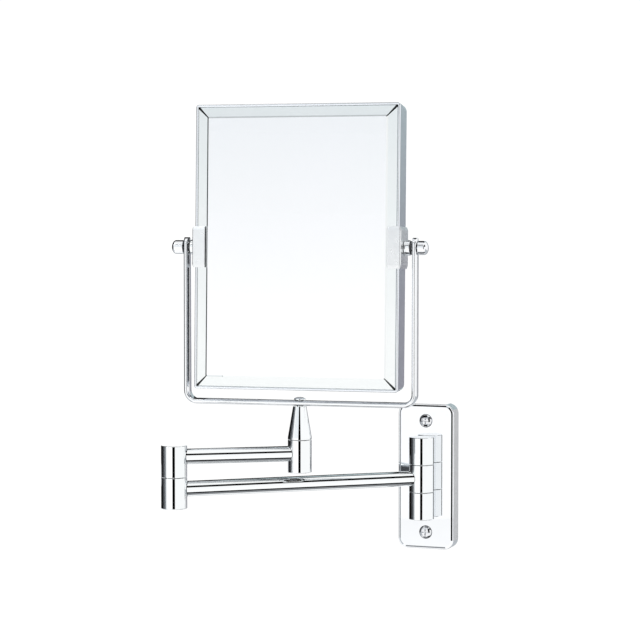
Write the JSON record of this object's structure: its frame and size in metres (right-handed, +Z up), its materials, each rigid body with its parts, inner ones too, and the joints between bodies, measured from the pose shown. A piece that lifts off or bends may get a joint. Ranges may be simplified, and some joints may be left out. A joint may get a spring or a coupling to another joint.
{
  "type": "extendable shaving mirror",
  "caption": "Wall-mounted two-sided shaving mirror that tips in a yoke on a folding double swing arm.",
  "frame": {"origin": "middle of the wall plate's back face, on the wall plane", "axes": "+X to the right seen from the room, +Y into the wall, +Z up"},
  "size_m": [0.2048, 0.167, 0.3543],
  "materials": {
    "cast_chrome": "polished chrome plating on cast zinc",
    "polished_chrome": "polished chrome plating on brass",
    "frame_chrome": "polished chrome plating on pressed steel",
    "screw_steel": "bright zinc-plated steel",
    "pin_steel": "turned stainless steel",
    "nut_brass": "machined brass",
    "nylon": "moulded nylon",
    "abs": "moulded ABS",
    "silvered_glass": "back-silvered glass"
  },
  "bodies": {
    "wall": {"wall_plate": "cast_chrome", "wall_screw_upper": "screw_steel", "wall_screw_lower": "screw_steel", "wall_knuckle_upper": "polished_chrome", "wall_knuckle_lower": "polished_chrome", "neck_screw_upper": "screw_steel", "neck_screw_lower": "screw_steel", "wall_hinge_pin": "pin_steel", "wall_hinge_plug": "pin_steel", "wall_washer_upper": "nylon", "wall_washer_lower": "nylon"},
    "lower_arm": {"lower_arm_knuckle": "polished_chrome", "lower_arm_tube": "polished_chrome", "elbow_knuckle_lower": "polished_chrome", "elbow_pin": "pin_steel", "elbow_plug": "pin_steel", "elbow_washer": "nylon"},
    "upper_arm": {"elbow_knuckle_upper": "polished_chrome", "upper_arm_tube": "polished_chrome", "stem_barrel": "polished_chrome", "stem_washer": "nylon"},
    "yoke": {"stem_cone": "polished_chrome", "stem_spindle": "pin_steel", "stem_nut": "nut_brass", "yoke_strip": "polished_chrome", "yoke_screw": "polished_chrome", "pivot_washer_left": "nylon", "pivot_washer_right": "nylon"},
    "head": {"head_frame": "frame_chrome", "front_mirror": "silvered_glass", "rear_mirror": "silvered_glass", "backing_tray": "abs", "stud_left": "pin_steel", "stud_right": "pin_steel", "clip_left": "frame_chrome", "clip_right": "frame_chrome", "boss_left": "polished_chrome", "boss_right": "polished_chrome", "knob_left": "polished_chrome", "knob_right": "polished_chrome"}
  },
  "joints": [
    {"name": "lower_arm_swing", "type": "hinge", "parent": "wall", "child": "lower_arm", "pos_m": [0, -0.0252, 0], "axis": [0, 0, 1], "range_deg": [-38, 138]},
    {"name": "upper_arm_swing", "type": "hinge", "parent": "lower_arm", "child": "upper_arm", "pos_m": [-0.15704, -0.15697, 0], "axis": [0, 0, 1], "continuous": true},
    {"name": "yoke_swivel", "type": "hinge", "parent": "upper_arm", "child": "yoke", "pos_m": [-0.07496, -0.10161, 0], "axis": [0, 0, 1], "continuous": true},
    {"name": "head_tilt", "type": "hinge", "parent": "yoke", "child": "head", "pos_m": [-0.07496, -0.10161, 0.1851], "axis": [0.9954, 0.0958, 0], "continuous": true}
  ]
}
